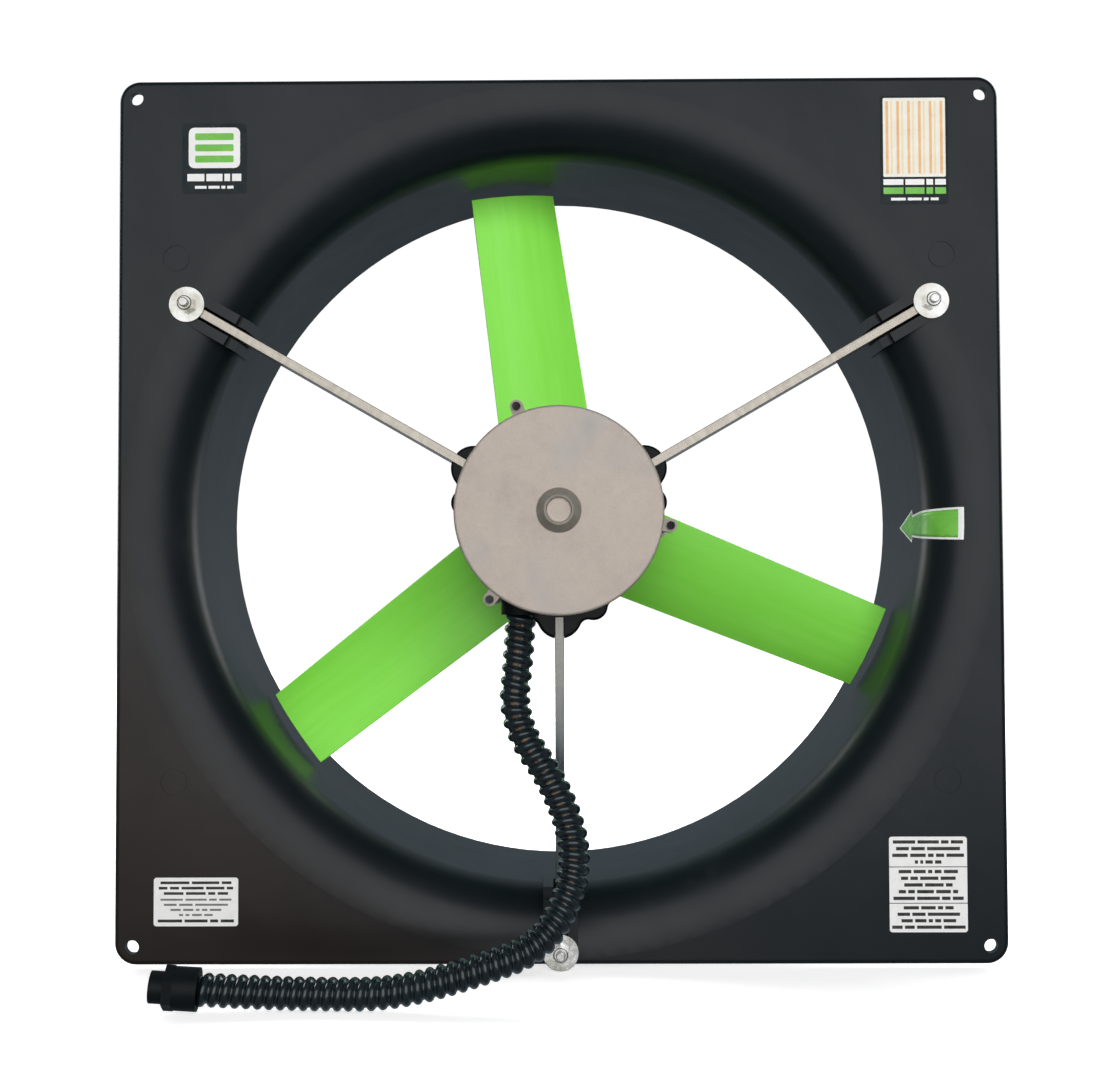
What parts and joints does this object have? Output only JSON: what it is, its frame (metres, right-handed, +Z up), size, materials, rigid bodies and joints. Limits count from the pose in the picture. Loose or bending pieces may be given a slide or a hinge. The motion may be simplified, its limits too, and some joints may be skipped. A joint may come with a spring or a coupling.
{
  "type": "solar attic fan",
  "caption": "Square moulded fan housing with a bell-mouthed round throat, flat struts carrying a low-voltage motor, a bladed propeller and a flexible wiring conduit.",
  "frame": {"origin": "on the fan's axis in the plane of the flange's front face, at the centre of the four corner screw holes", "axes": "+Z up, +X to the right seen from the inlet side, +Y along the fan's axis with the airflow, from the inlet to the outlet"},
  "size_m": [0.6224, 0.266, 0.6264],
  "materials": {
    "housing_plastic": "semi-gloss moulded black plastic with faint flow marks",
    "mount_plastic": "glossy black moulded plastic",
    "hub_plastic": "black glass-filled moulded plastic",
    "blade_plastic": "satin lime-green moulded plastic",
    "strut_aluminium": "mill-finish flat bar with fine lengthwise grain",
    "zinc_fasteners": "bright zinc plate",
    "black_screws": "black oxide screws",
    "motor_casting": "matte beige-silver coat on a fine-grained casting",
    "bearing_steel": "polished bearing steel",
    "lamination_steel": "stacked electrical steel",
    "copper_wire": "enamelled copper windings",
    "circuit_board": "green solder mask",
    "magnet": "nickel-plated magnet",
    "shaft_steel": "ground steel",
    "conduit_plastic": "glossy black corrugated plastic",
    "label_dark": null,
    "label_cream": null,
    "label_green": "green airflow arrow with a white edge and no lettering",
    "label_white": null
  },
  "bodies": {
    "fan_frame": {"bearing_preload_washer": "bearing_steel", "conduit_end_fitting": "conduit_plastic", "conduit_gland": "conduit_plastic", "controller_board": "circuit_board", "front_bearing_outer_race": "bearing_steel", "housing": "housing_plastic", "label_airflow": "label_green", "label_lower_left": "label_white", "label_lower_right": "label_white", "label_upper_left": "label_dark", "label_upper_right": "label_cream", "motor_can": "motor_casting", "motor_end_cap": "motor_casting", "motor_mount_front": "mount_plastic", "motor_mount_rear": "mount_plastic", "motor_mounting_screws": "black_screws", "motor_rear_bell": "motor_casting", "motor_through_bolts": "black_screws", "mount_clamp_screws": "black_screws", "power_conduit": "conduit_plastic", "rear_bearing_outer_race": "bearing_steel", "stator_coils": "copper_wire", "stator_core": "lamination_steel", "strut_bolts": "zinc_fasteners", "strut_lower": "strut_aluminium", "strut_nuts": "zinc_fasteners", "strut_upper_left": "strut_aluminium", "strut_upper_right": "strut_aluminium", "strut_washers": "zinc_fasteners"},
    "rotor": {"motor_shaft": "shaft_steel", "rotor_core": "lamination_steel", "rotor_magnets": "magnet", "front_bearing_inner_race": "bearing_steel", "rear_bearing_inner_race": "bearing_steel", "front_bearing_balls": "bearing_steel", "rear_bearing_balls": "bearing_steel", "hub_front": "hub_plastic", "hub_rear": "hub_plastic", "hub_screws": "black_screws", "shaft_key": "shaft_steel", "shaft_washer": "zinc_fasteners", "shaft_nut": "zinc_fasteners", "fan_blade_1": "blade_plastic", "fan_blade_2": "blade_plastic", "fan_blade_3": "blade_plastic"}
  },
  "joints": [
    {"name": "rotor_spin", "type": "hinge", "parent": "fan_frame", "child": "rotor", "pos_m": [0, 0.095, 0], "axis": [0, -1, 0], "continuous": true}
  ]
}
